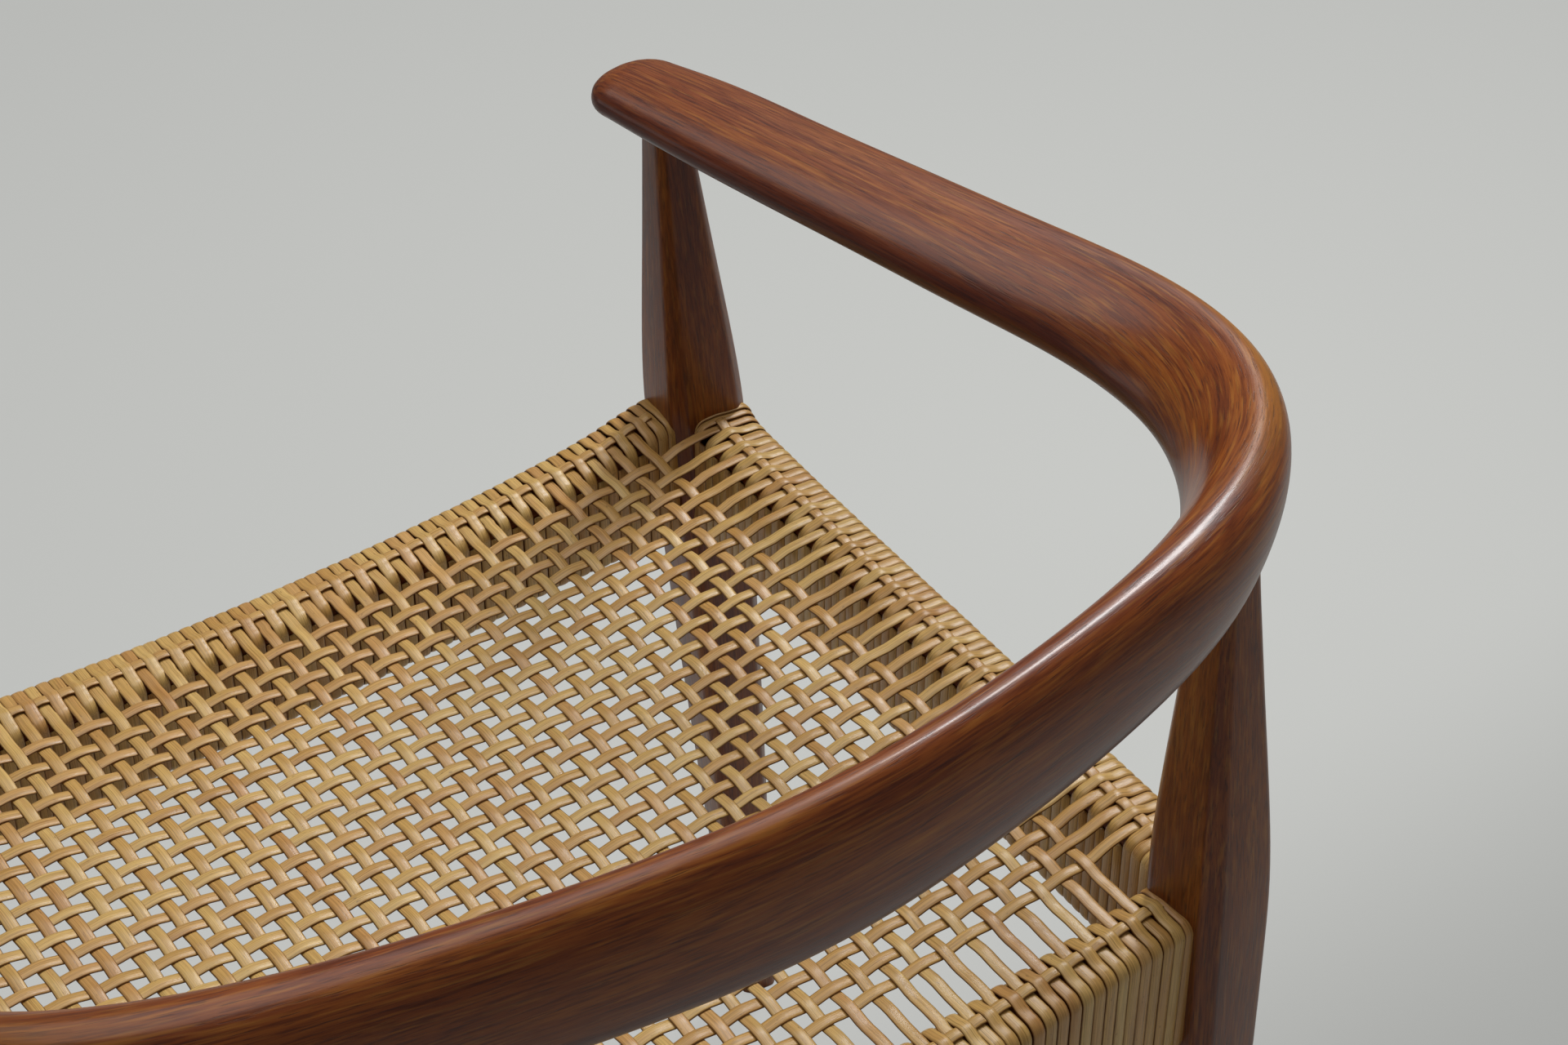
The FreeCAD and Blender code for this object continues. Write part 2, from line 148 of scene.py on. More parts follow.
def tint(red, green, blue):
    """A colour as it is seen, turned to the linear values that a shader takes."""
    linear = [((c / 255 + 0.055) / 1.055) ** 2.4 if c > 10 else c / 3294 for c in (red, green, blue)]
    return (*linear, 1.0)


def add_node(tree, kind, links=None, **settings):
    """A shader node with its settings, and its inputs linked or set by name or number."""
    node = tree.nodes.new("ShaderNode" + kind)
    for name, value in settings.items():
        setattr(node, name, value)
    for socket, source in (links or {}).items():
        if isinstance(source, bpy.types.NodeSocket):
            tree.links.new(source, node.inputs[socket])
        else:
            node.inputs[socket].default_value = source
    return node


def ramp(tree, source, stops):
    """Colours looked up from a value; each stop is a place and its colour."""
    node = add_node(tree, "ValToRGB", {0: source})
    while len(node.color_ramp.elements) < len(stops):
        node.color_ramp.elements.new(0.5)
    for element, (place, colour) in zip(node.color_ramp.elements, stops):
        element.position = place
        element.color = colour
    return node.outputs[0]


def grain_noise(tree, grain, stretch, detail, rough=0.5):
    """Noise drawn out along the grain; stretch is how often it changes per metre."""
    mapped = add_node(tree, "Mapping", {"Vector": grain, "Scale": stretch})
    noise = add_node(tree, "TexNoise", {
        "Vector": mapped.outputs[0], "Scale": 1.0, "Detail": detail, "Roughness": rough})
    return noise.outputs[0]


def multiply(tree, colour, factor, amount=1.0):
    node = add_node(tree, "Mix", {0: amount, 6: colour, 7: factor}, data_type="RGBA",
                    blend_type="MULTIPLY")
    return node.outputs[2]


def blend_colour(tree, share, first, second):
    node = add_node(tree, "Mix", {0: share, 6: first, 7: second}, data_type="RGBA")
    return node.outputs[2]


def make_teak(name, shade, turn=None, painted_ridge_and_edge=False):
    """Oiled teak: grain along the piece's own lines, or along the turned object axes."""
    material = bpy.data.materials.new(name)
    material.use_nodes = True
    tree = material.node_tree
    shader = tree.nodes["Principled BSDF"]
    if turn is None:
        source = add_node(tree, "Attribute", attribute_name="grain").outputs["Vector"]
    else:
        source = add_node(tree, "TexCoord").outputs["Object"]
        source = add_node(tree, "Mapping", {"Vector": source, "Rotation": turn}).outputs[0]
    # The grain wanders two millimetres to either side of straight.
    wander = grain_noise(tree, source, (5.0, 22.0, 22.0), 2.0)
    swing = add_node(tree, "MapRange", {0: wander, 1: 0.0, 2: 1.0, 3: -0.002, 4: 0.002}).outputs[0]
    shift = add_node(tree, "CombineXYZ", {1: swing, 2: swing}).outputs[0]
    grain = add_node(tree, "VectorMath", {0: source, 1: shift}, operation="ADD").outputs[0]
    # Year rings as broad bands, with dark vessel lines and a few golden ones between.
    bands = grain_noise(tree, grain, (5.0, 110.0, 110.0), 4.0, 0.6)
    colour = ramp(tree, bands, [
        (0.26, tint(108, 47, 8)), (0.42, tint(132, 64, 13)), (0.56, tint(148, 78, 18)),
        (0.7, tint(166, 97, 26)), (0.84, tint(184, 116, 38))])
    streaks = grain_noise(tree, grain, (42.0, 900.0, 900.0), 3.0, 0.65)
    fine = ramp(tree, streaks, [
        (0.36, tint(176, 150, 130)), (0.5, tint(238, 228, 218)), (0.62, tint(255, 255, 255))])
    colour = multiply(tree, colour, fine, 0.85)
    gold = grain_noise(tree, grain, (34.0, 620.0, 620.0), 2.0)
    golden = ramp(tree, gold, [(0.52, (0, 0, 0, 1)), (0.68, (0.28, 0.28, 0.28, 1))])
    colour = blend_colour(tree, golden, colour, tint(200, 136, 50))
    patches = grain_noise(tree, source, (4.0, 16.0, 16.0), 2.0)
    patch = ramp(tree, patches, [(0.32, tint(196, 172, 160)), (0.62, tint(255, 255, 255))])
    colour = multiply(tree, colour, patch, 0.7)
    if painted_ridge_and_edge:
        # A painted highlight: the outer ridge is painted pale gold.
        painted_ridge = add_node(tree, "Attribute", attribute_name="ridge_highlight").outputs["Fac"]
        colour = blend_colour(tree, painted_ridge, colour, tint(204, 142, 46))
        # The inner edge is painted darker: partly darker wood, partly painted shade.
        inner = add_node(tree, "SeparateXYZ", {0: source}).outputs[1]
        edge_wood_and_shade = add_node(tree, "MapRange", {0: inner, 1: -0.006, 2: -0.027, 3: 0.0, 4: 1.0})
        colour = multiply(tree, colour, tint(168, 132, 120), edge_wood_and_shade.outputs[0])
    pores = grain_noise(tree, grain, (64.0, 1700.0, 1700.0), 2.0)
    pore = ramp(tree, pores, [(0.60, (0, 0, 0, 1)), (0.68, (1, 1, 1, 1))])
    colour = blend_colour(tree, multiply(tree, pore, (0.6, 0.6, 0.6, 1)), colour, tint(58, 26, 14))
    colour = multiply(tree, colour, (shade, shade, shade, 1))
    tree.links.new(colour, shader.inputs["Base Color"])
    shader.inputs["Specular IOR Level"].default_value = 0.3
    shader.inputs["Coat Weight"].default_value = 0.3
    shader.inputs["Coat Roughness"].default_value = 0.18
    gloss = add_node(tree, "MapRange", {0: streaks, 1: 0.3, 2: 0.7, 3: 0.34, 4: 0.44}).outputs[0]
    tree.links.new(gloss, shader.inputs["Roughness"])
    relief = add_node(tree, "Math", {0: streaks, 1: pore}, operation="SUBTRACT").outputs[0]
    bump = add_node(tree, "Bump", {"Height": relief, "Strength": 0.22, "Distance": 0.0003})
    tree.links.new(bump.outputs[0], shader.inputs["Normal"])
    return material


arm_teak = make_teak("oiled_teak_arm", 1.0, painted_ridge_and_edge=True)
joint_across = -165.0
half_along = np.linspace(0, rail_end / 2, 2000)
past_corner = slice(-900, None)
half_across = fair_curve(rail_knots, rail_table, half_along)[:, 0]
joint_along = np.interp(joint_across, half_across[past_corner], half_along[past_corner])
finger_low = 608.0
finger_step = 16.0
finger_deep = 13.0
finger_points = 8
ring_count = 96
ring_turn = np.linspace(0, 2 * math.pi, ring_count, endpoint=False)


def finger_line(side):
    """Where the joint's fingers end round the rail: a saw-tooth in height."""
    middle = joint_along if side < 0 else rail_end - joint_along
    height = rail_skin(np.full(ring_count, middle), ring_turn)[0][:, 2]
    levels = finger_low + finger_step * (np.arange(finger_points) - 0.5)
    tooth = np.interp(height, levels, finger_deep * np.array([-1, 1] * (finger_points // 2)))
    return middle - side * tooth


probe_along = 0.05
probe_turn = 0.01
probe_tip = tip_reach * 0.999


def skin_slope(along):
    """The true outward direction of the skin, so that the glued joints show no seam."""
    behind = rail_skin(np.clip(along - probe_along, -probe_tip, rail_end + probe_tip), ring_turn)[0]
    ahead = rail_skin(np.clip(along + probe_along, -probe_tip, rail_end + probe_tip), ring_turn)[0]
    left = rail_skin(along, ring_turn - probe_turn)[0]
    right = rail_skin(along, ring_turn + probe_turn)[0]
    slope = np.cross(right - left, ahead - behind)
    return slope / np.linalg.norm(slope, axis=1)[:, None]


# A painted highlight: the ridge is painted palest round its outermost line, between a start and a stop
# length along it.
highlight_most = 0.62
highlight_spread = 0.12
highlight_start, highlight_rise = 60.0, 120.0
highlight_stop, highlight_fall = 470.0, 160.0
end_crowding = 0.35


def rail_piece(name, node, start, stop, rings):
    """One length of the rail between two lines round it, closed at both ends."""
    crowded = (1 - np.cos(np.linspace(0, math.pi, rings))) / 2
    shares = crowded * end_crowding + np.linspace(0, 1, rings) * (1 - end_crowding)
    places, marks, ridge_highlight, slopes = [], [], [], []
    for share in shares:
        along = start + (stop - start) * share
        skin, across, deep = rail_skin(along, ring_turn)
        places.append(skin)
        slopes.append(skin_slope(along))
        marks.append(np.stack([along, across, deep], 1) * mm)
        # The share of painted highlight round the ridge.
        ridge = np.exp(-((ring_turn + math.pi) % (2 * math.pi) - math.pi) ** 2 / highlight_spread)
        from_tip = np.minimum(along, rail_end - along)
        window = np.clip((from_tip - highlight_start) / highlight_rise, 0, 1)
        window = window * np.clip((highlight_stop - from_tip) / highlight_fall, 0, 1)
        ridge_highlight.append(highlight_most * ridge * window)
    faces = []
    for ring in range(rings - 1):
        for spot in range(ring_count):
            after = (spot + 1) % ring_count
            faces.append((ring * ring_count + spot, ring * ring_count + after,
                          (ring + 1) * ring_count + after, (ring + 1) * ring_count + spot))
    last = (rings - 1) * ring_count
    faces.append(tuple(range(ring_count))[::-1])
    faces.append(tuple(last + spot for spot in range(ring_count)))
    piece = dress(name, np.concatenate(places), faces, np.concatenate(marks), "grain",
                  np.concatenate(ridge_highlight))
    smooth = np.zeros((len(piece.data.loops), 3))
    ends = len(piece.data.loops) - 2 * ring_count
    corners_at = np.zeros(len(piece.data.loops), int)
    piece.data.loops.foreach_get("vertex_index", corners_at)
    smooth[:ends] = np.concatenate(slopes)[corners_at[:ends]]
    smooth[ends:ends + ring_count] = piece.data.polygons[-2].normal
    smooth[ends + ring_count:] = piece.data.polygons[-1].normal
    piece.data.normals_split_custom_set(smooth.tolist())
    piece.data.materials.append(arm_teak)
    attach(piece, "root")
    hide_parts(node)


tip_close = 0.995
tip_start = np.full(ring_count, -tip_reach * tip_close)
tip_stop = np.full(ring_count, rail_end + tip_reach * tip_close)
rail_piece("right_arm", "arm_right", tip_start, finger_line(-1), 150)
rail_piece("back_piece", "back_rail", finger_line(-1), finger_line(1), 120)
rail_piece("left_arm", "arm_left", finger_line(1), tip_stop, 150)


# Legs: four solid teak posts, shaved to a long swell at the seat and let into the
# rail's underside; each has four flats and an eased arris at every corner.
# Each level: height above the floor and width from flat to flat, in mm.
leg_levels = [(0, 22.5), (60, 25.6), (120, 29.2), (180, 32.6), (240, 35.8), (300, 38.6),
              (350, 40.8), (390, 42.2), (420, 43.0), (452, 43.2), (475, 41.7), (500, 38.6),
              (530, 34.0), (560, 29.2), (590, 24.6), (612, 21.3), (630, 19.0), (646, 17.2)]
leg_teak = make_teak("oiled_teak_leg", 0.85)
blank_radius = 0.02
arris_width = 0.0016
arris_angle = math.radians(28)
flat_angle = math.radians(40)
lean_level = 452
corner_share = 0.345
corners = [(corner_share, -0.5), (0.5, -corner_share), (0.5, corner_share), (corner_share, 0.5),
           (-corner_share, 0.5), (-0.5, corner_share), (-0.5, -corner_share), (-corner_share, -0.5)]
leg_heights = np.concatenate((np.linspace(0, 390, 14), np.linspace(400, 646, 26)))
leg_sides = fair_curve(np.array([row[0] for row in leg_levels]),
                       np.array([[row[1]] for row in leg_levels]), leg_heights)[:, 0]
for name, node, across, along, lean_out, lean_back, turned in (
        ("front_right_leg", "leg_front_right", -264.1, -226.3, 0.073, 0.003, -6.0),
        ("front_left_leg", "leg_front_left", 264.1, -226.3, -0.073, 0.003, 6.0),
        ("rear_right_leg", "leg_rear_right", -248.2, 186.8, 0.01, 0.045, 4.5),
        ("rear_left_leg", "leg_rear_left", 248.2, 186.8, -0.01, 0.045, -4.5)):
    foot = Vector((across - lean_out * lean_level, along + lean_back * lean_level, 0)) * mm
    bpy.ops.object.select_all(action="DESELECT")
    bpy.ops.mesh.primitive_circle_add(vertices=8, radius=blank_radius, fill_type="NGON", location=foot)
    leg = bpy.context.object
    leg.name = name
    swing = Matrix.Rotation(math.radians(turned), 3, "Z")
    for vertex in leg.data.vertices:
        angle = math.atan2(vertex.co.y, vertex.co.x) % (2 * math.pi)
        spot = corners[(round(angle / (math.pi / 4)) + 1) % 8]
        vertex.co = swing @ Vector((spot[0], spot[1], 0)) * leg_sides[0] * mm
    bpy.ops.object.mode_set(mode="EDIT")
    bpy.ops.mesh.select_all(action="SELECT")
    bpy.ops.mesh.normals_make_consistent(inside=False)
    for low, high, old, new in zip(leg_heights, leg_heights[1:], leg_sides, leg_sides[1:]):
        rise = (high - low) * mm
        bpy.ops.mesh.extrude_region_move(TRANSFORM_OT_translate={
            "value": (lean_out * rise, -lean_back * rise, rise)})
        centre = foot + Vector((lean_out * high, -lean_back * high, high)) * mm
        bpy.ops.transform.resize(value=(new / old, new / old, 1), center_override=centre)
    bpy.ops.mesh.select_all(action="SELECT")
    bpy.ops.mesh.normals_make_consistent(inside=False)
    bpy.ops.object.mode_set(mode="OBJECT")
    bpy.ops.object.transform_apply(location=True, rotation=True, scale=True)
    arris = leg.modifiers.new("eased_arris", "BEVEL")
    arris.width = arris_width
    arris.segments = 3
    arris.limit_method = "ANGLE"
    arris.angle_limit = arris_angle
    bpy.ops.object.modifier_apply(modifier=arris.name)
    bpy.ops.object.shade_smooth_by_angle(angle=flat_angle)
    spots = np.zeros(len(leg.data.vertices) * 3)
    leg.data.vertices.foreach_get("co", spots)
    spots = spots.reshape(-1, 3)
    layer = leg.data.attributes.new("grain", "FLOAT_VECTOR", "POINT")
    lines = np.stack([spots[:, 2], spots[:, 0] - lean_out * spots[:, 2],
                      spots[:, 1] + lean_back * spots[:, 2]], 1)
    layer.data.foreach_set("vector", lines.astype(np.float32).ravel())
    leg.data.materials.append(leg_teak)
    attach(leg, "root")
    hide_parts(node)


# Seat rails: four teak rails tenoned into the legs, wholly under the cane, so the
# frame's own solids stay and only take the same teak, with its grain along each rail.
for node, turn in (("front_seat_rail", (0, 0, 0)), ("rear_seat_rail", (0, 0, 0)),
                   ("side_seat_rail_right", (0, 0, math.pi / 2)),
                   ("side_seat_rail_left", (0, 0, math.pi / 2))):
    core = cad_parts[node]
    core.data.materials.clear()
    core.data.materials.append(make_teak("teak_core_" + node, 1.0, turn))


# Wound cane: split rattan strips, glossy bark side out, wound close round every seat
# rail. Two turns share each pitch: one runs on into the seat, one holds the binder down.
cane_wide = 6.4
cane_thick = 0.9
# The strip's section in half widths and thicknesses: a crowned bark side, a flatter back.
strip_section = np.array([(-1, 0), (-0.88, 0.52), (-0.52, 0.88), (0, 1), (0.52, 0.88), (0.88, 0.52),
                          (1, 0), (0.75, -0.5), (0, -0.62), (-0.75, -0.5)])
chance = np.random.default_rng(7)


def strip(path, side, wide=cane_wide, closed=False):
    """One cane strip swept along a path in mm; side points across it."""
    if closed:
        ahead = np.roll(path, -1, 0) - np.roll(path, 1, 0)
    else:
        ahead = np.gradient(path, axis=0)
    ahead /= np.linalg.norm(ahead, axis=1)[:, None]
    side = np.broadcast_to(side, path.shape)
    side = side - (side * ahead).sum(1)[:, None] * ahead
    side = side / np.linalg.norm(side, axis=1)[:, None]
    face = np.cross(ahead, side)
    rings = (path[:, None, :] + side[:, None, :] * strip_section[None, :, :1] * wide / 2
             + face[:, None, :] * strip_section[None, :, 1:] * cane_thick)
    run = np.concatenate(([0], np.cumsum(np.linalg.norm(np.diff(path, axis=0), axis=1)))) * mm
    marks = np.zeros((len(path), len(strip_section), 3))
    marks[:, :, 0] = run[:, None] + chance.random() * 3
    marks[:, :, 1] = strip_section[None, :, 0]
    marks[:, :, 2] = chance.random()
    return rings.reshape(-1, 3), marks.reshape(-1, 3), len(path), closed


def bundle(name, strips, replaced):
    """Many strips as one piece of cane."""
    places, marks, faces, start = [], [], [], 0
    around = len(strip_section)
    for rings, lines, count, closed in strips:
        for ring in range(count if closed else count - 1):
            for spot in range(around):
                after = (spot + 1) % around
                low = start + ring * around
                high = start + (ring + 1) % count * around
                faces.append((low + after, low + spot, high + spot, high + after))
        if not closed:
            faces.append(tuple(start + spot for spot in range(around)))
            faces.append(tuple(start + (count - 1) * around + spot for spot in range(around))[::-1])
        places.append(rings)
        marks.append(lines)
        start += count * around
    piece = dress(name, np.concatenate(places), faces, np.concatenate(marks), "fibre")
    piece.data.materials.append(cane_skin)
    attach(piece, "root")
    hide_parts(*replaced)


def make_cane():
    """Varnished rattan bark: each strip has its own tone, threads and specks, and painted shade along its
    edges.
    """
    material = bpy.data.materials.new("varnished_cane")
    material.use_nodes = True
    tree = material.node_tree
    shader = tree.nodes["Principled BSDF"]
    source = add_node(tree, "Attribute", attribute_name="fibre").outputs["Vector"]
    parts = add_node(tree, "SeparateXYZ", {0: source})
    colour = ramp(tree, parts.outputs[2], [
        (0.0, tint(204, 157, 86)), (0.25, tint(217, 175, 101)), (0.5, tint(224, 186, 114)),
        (0.72, tint(214, 170, 97)), (0.86, tint(213, 167, 102)), (1.0, tint(202, 151, 85))])
    spread = add_node(tree, "VectorMath", {0: source, 1: (1.0, 1.0, 60.0)}, operation="MULTIPLY").outputs[0]
    blotch = grain_noise(tree, spread, (34.0, 0.7, 1.0), 3.0, 0.6)
    browned = ramp(tree, blotch, [(0.46, (0, 0, 0, 1)), (0.78, (0.6, 0.6, 0.6, 1))])
    colour = blend_colour(tree, browned, colour, tint(190, 134, 76))
    threads = grain_noise(tree, spread, (22.0, 7.0, 1.0), 4.0, 0.65)
    line = ramp(tree, threads, [(0.32, tint(186, 176, 160)), (0.6, tint(255, 255, 255))])
    colour = multiply(tree, colour, line, 0.85)
    # Painted shade: each strip is darkened along both its edges.
    rim = add_node(tree, "Math", {0: parts.outputs[1]}, operation="ABSOLUTE").outputs[0]
    painted_edge_shade = ramp(tree, rim, [(0.80, (1, 1, 1, 1)), (0.97, tint(150, 120, 92))])
    colour = multiply(tree, colour, painted_edge_shade)
    specks = grain_noise(tree, spread, (260.0, 2.6, 1.0), 2.0)
    speck = ramp(tree, specks, [(0.68, (0, 0, 0, 1)), (0.76, (0.5, 0.5, 0.5, 1))])
    colour = blend_colour(tree, speck, colour, tint(92, 56, 30))
    tree.links.new(colour, shader.inputs["Base Color"])
    gloss = add_node(tree, "MapRange", {0: threads, 1: 0.3, 2: 0.7, 3: 0.26, 4: 0.40}).outputs[0]
    tree.links.new(gloss, shader.inputs["Roughness"])
    bump = add_node(tree, "Bump", {"Height": threads, "Strength": 0.35, "Distance": 0.0003})
    tree.links.new(bump.outputs[0], shader.inputs["Normal"])
    return material


cane_skin = make_cane()
rail_wide = 32.0
rail_tall = 62.0
side_low = 382.0
rear_low = 371.0
turn_round = 5.6
turn_points = 6
open_end = 1.0
hump_reach = 4.6
rail_top = 455.0
rear_top = 452.0
front_line = -227.9
rear_line = 185.5
side_start = (-266.3, -207.0)
splay = math.tan(math.radians(2.6))


def dipping(across, half, dip, top):
    """Height of a dipped rail's top edge at a place across it."""
    radius = (half * half + dip * dip) / (2 * dip)
    across = np.clip(np.abs(across), 0, half)
    return top - (np.sqrt(radius * radius - across * across) - (radius - dip))


def front_height(across):
    """The front rail dips 20 mm at the middle of its clear length."""
    return dipping(across, 252.0, 20.0, rail_top)


def rear_height(across):
    """The rear rail is shorter and dips 17 mm."""
    return dipping(across, 240.0, 17.0, rear_top)


def front_low(across):
    """The front rail's underside is nearly straight, so the rail is deeper at its ends."""
    return min(side_low, float(front_height(across)) - rail_tall)


def corner(centre_in, centre_up, first, last):
    """A strip's bend round one edge of a rail, from one angle to another."""
    angles = np.radians(np.linspace(first, last, turn_points))
    return np.stack([centre_in + turn_round * np.cos(angles),
                     centre_up + turn_round * np.sin(angles)], 1)


def winding(top, low, closed, binder_at=None, hump=0.0, flare=0.0):
    """One turn round a rail as (inward, height) points: down the inner face, under, up
    the outer face and over the top; a closed turn also comes back round the inner edge."""
    half = rail_wide / 2 - cane_thick
    high = top - cane_thick
    low = low + cane_thick
    flat = half - turn_round
    inner_top = high - turn_round - (0 if closed else open_end)
    inner = np.linspace((half, inner_top), (half, low + turn_round), 4)
    outer = np.linspace((-half, low + turn_round), (-half, high - turn_round), 4)
    over = np.linspace((-flat, high), (flat, high), 9)
    if binder_at is not None:
        over[:, 1] += hump * np.exp(-((over[:, 0] - binder_at) / hump_reach) ** 2)
    parts = [inner[:-1], corner(flat, low + turn_round, 0, -90),
             corner(-flat, low + turn_round, -90, -180), outer[1:-1],
             corner(-flat, high - turn_round, 180, 90), over[1:]]
    if closed:
        parts.append(corner(flat, high - turn_round, 90, 0)[1:-1])
    shape = np.concatenate(parts)
    shape[:, 0] -= flare * np.clip(-shape[:, 0] / half, 0, 1)
    return shape


def post_rise(across):
    """Towards the front posts the turns ride up on those below them."""
    return float(np.interp(abs(across), (184, 196, 209, 221, 232, 243), (0, 0.4, 1.0, 2.7, 3.8, 4.2)))


def side_rise(along):
    """The same on the side rails."""
    return float(np.interp(along, (-207, -202, -198, -190), (4.5, 2.4, 0.8, 0)))


flare_most = 1.6
flare_start = -127.0
flare_run = 73.0
flare_power = 1.2


def flare_at(along):
    """The side rails' turns stand further out towards the front posts."""
    return flare_most * np.clip((flare_start - along) / flare_run, 0, 1.1) ** flare_power


# Wefts run from side to side and warps from front to rear; pitches are in mm, and the
# binder lies so far inward of each rail's middle.
weft_count = 29
weft_pitch = 12.263
weft_first = -198.5
warp_count = 36
warp_pitch = 12.485
warp_first = -221.9
rear_share = 0.9641
front_binder = 1.4
rear_binder = 2.4
side_binder = 2.9
side_lean = 3.0


def along_front(across, shape):
    """A turn's points set at a place along the front rail; the next ones do the same."""
    return np.stack([np.full(len(shape), across), front_line + shape[:, 0], shape[:, 1]], 1)


def along_rear(across, shape):
    return np.stack([np.full(len(shape), across), rear_line - shape[:, 0], shape[:, 1]], 1)


def side_line(along):
    """How far out the right side rail's middle is: the seat narrows to the rear."""
    return side_start[0] + (along - side_start[1]) * splay


def along_right(along, shape):
    return np.stack([side_line(along) + shape[:, 0],
                     along + side_lean * (side_binder - shape[:, 0]) / rail_wide, shape[:, 1]], 1)


def along_left(along, shape):
    return along_right(along, shape) * np.array([-1, 1, 1])


def sway(path, amount):
    """A hand-wound turn is never quite straight."""
    lean = chance.normal(0, amount, 3)
    return path + lean * np.array([1, 1, 0.15])


# How far strips stray from even spacing, as places and the strays there: the weaver
# counts the strands but never spaces them evenly.
warp_drift = ((-222, -200, -170, -140, -110, -80, -50, -20, 10, 40, 70, 100, 130, 220),
              (-1.0, -1.3, -0.5, 0.6, 0.3, 2.3, 2.9, 2.2, 2.1, 3.0, 1.8, 1.9, 1.2, 0.8))
warp_places = [warp_first + warp_pitch * index for index in range(warp_count)]
warp_places = [place + float(np.interp(place, *warp_drift)) for place in warp_places]
weft_places = [weft_first + weft_pitch * index for index in range(weft_count)]
weft_drift = ((-198.5, -186, -160, -145, -126, -106, -66, -26, 0, 34, 80, 145),
              (-0.4, 1.0, 1.1, 1.3, 0.8, 0.3, 0.15, -0.2, -0.7, -1.0, -0.6, 0))
weft_places = [place + float(np.interp(place, *weft_drift)) for place in weft_places]
gap_front = warp_pitch / 2
gap_rear = gap_front * rear_share
gap_side = weft_pitch / 2
warp_gaps = [(first + second) / 2 for first, second in zip(warp_places, warp_places[1:])]
front_turns = [warp_places[0] - gap_front] + warp_gaps + [warp_places[-1] + gap_front]
front_plain = [warp_places[0] - gap_front * 2, warp_places[0] - gap_front * 3,
               warp_places[-1] + gap_front * 2, warp_places[-1] + gap_front * 3,
               warp_places[-1] + gap_front * 4]
rear_drift = ((-222, -175, -147, -60, 60, 147, 222), (0.4, 2.0, 3.8, 4.5, 1.0, 0, 0))
rear_places = [place * rear_share + float(np.interp(place, *rear_drift)) for place in warp_places]
rear_middles = [(first + second) / 2 for first, second in zip(rear_places, rear_places[1:])]
rear_turns = [rear_places[0] - gap_rear] + rear_middles + [rear_places[-1] + gap_rear]
rear_plain = [rear_places[0] - gap_rear * 2, rear_places[-1] + gap_rear * 2,
              rear_places[-1] + gap_rear * 3]
side_gaps = [(first + second) / 2 for first, second in zip(weft_places, weft_places[1:])]
side_turns = side_gaps + [weft_places[-1] + gap_side]
side_plain = [weft_places[0] - 4.4, weft_places[0] - 8.2, weft_places[-1] + gap_side * 2,
              weft_places[-1] + gap_side * 3, weft_places[-1] + gap_side * 4]
turn_sway = 0.12
binder_hump = 2.6
plain_hump = 0.6


def wound_edges(lay, spot):
    """Heights of a wound rail's top and underside, and its flare, at a place along it."""
    if lay is along_front:
        return float(front_height(spot)) + post_rise(spot), front_low(spot), 0.0
    if lay is along_rear:
        return float(rear_height(spot)), rear_low, 0.0
    return rail_top + side_rise(spot), side_low, flare_at(spot)


for name, node, turns, plain, lay, binder_in, side in (
        ("wound_cane_front", "cane_wrap_front", front_turns, front_plain, along_front,
         front_binder, (-1, 0, 0)),
        ("wound_cane_rear", "cane_wrap_rear", rear_turns, rear_plain, along_rear,
         rear_binder, (1, 0, 0)),
        ("wound_cane_right", "cane_wrap_right", side_turns, side_plain, along_right,
         side_binder, (0, 1, 0)),
        ("wound_cane_left", "cane_wrap_left", side_turns, side_plain, along_left,
         side_binder, (0, -1, 0))):
    strips = []
    for spot in turns + plain:
        hump = binder_hump if spot in turns else plain_hump
        top, low, flare = wound_edges(lay, spot)
        path = sway(lay(spot, winding(top, low, True, binder_in, hump, flare)), turn_sway)
        wide = cane_wide * chance.uniform(0.98, 1.05)
        strips.append(strip(path, np.array(side, float), wide, closed=True))
    bundle(name, strips, [node])


# Binder: a flat strip laid along the top of each wound rail, over the strips that run
# into the seat and under the turns between them.
binder_wide = 6.0
binder_rise = 0.75
binder_wave = 0.5
for name, node, first, last, lay, binder_in, side, held in (
        ("binder_strip_front", "binder_cane_front", -236.0, 234.0, along_front, front_binder, (0, 1, 0),
         warp_places),
        ("binder_strip_rear", "binder_cane_rear", -224.0, 224.0, along_rear, rear_binder, (0, 1, 0),
         rear_places),
        ("binder_strip_right", "binder_cane_right", -202.0, 164.0, along_right, side_binder, (-1, 0, 0),
         weft_places),
        ("binder_strip_left", "binder_cane_left", -202.0, 164.0, along_left, side_binder, (-1, 0, 0),
         weft_places)):
    pitch = (held[-1] - held[0]) / (len(held) - 1)
    spots = np.arange(first, last, pitch / 6)
    path = []
    for spot in spots:
        top = wound_edges(lay, spot)[0]
        counted = np.interp(spot, [held[0] - 2 * pitch, *held, held[-1] + 2 * pitch],
                            [-2, *range(len(held)), len(held) + 1])
        rise = binder_rise + binder_wave * math.cos(2 * math.pi * counted)
        path.append(lay(spot, np.array([(binder_in, top + rise)]))[0])
    bundle(name, [strip(np.array(path), np.array(side, float), binder_wide)], [node])


# Woven seat: the same strips run front to rear over both dipped rails and side to
# side over the straight ones, over one and under one, drawn tight from rail to rail.
weave_rise = 0.85
weave_step = 0.2
seat_sag = 1.2
seat_half = 250.0
edge_gap = 2.5
cross_gap = 4.3
edge_fade = 30.0
stray = 0.25
outer_pull = 2.0
outer_fade = 1.5


def seat_height(across, along):
    """The seat hangs between the two dipped rails, with a slight sag of its own."""
    share = np.clip((along - front_line) / (rear_line - front_line), 0, 1)
    sag = seat_sag * np.sin(math.pi * share) * np.clip(1 - (across / seat_half) ** 2, 0, 1)
    return front_height(across) * (1 - share) + rear_height(across) * share - sag - cane_thick


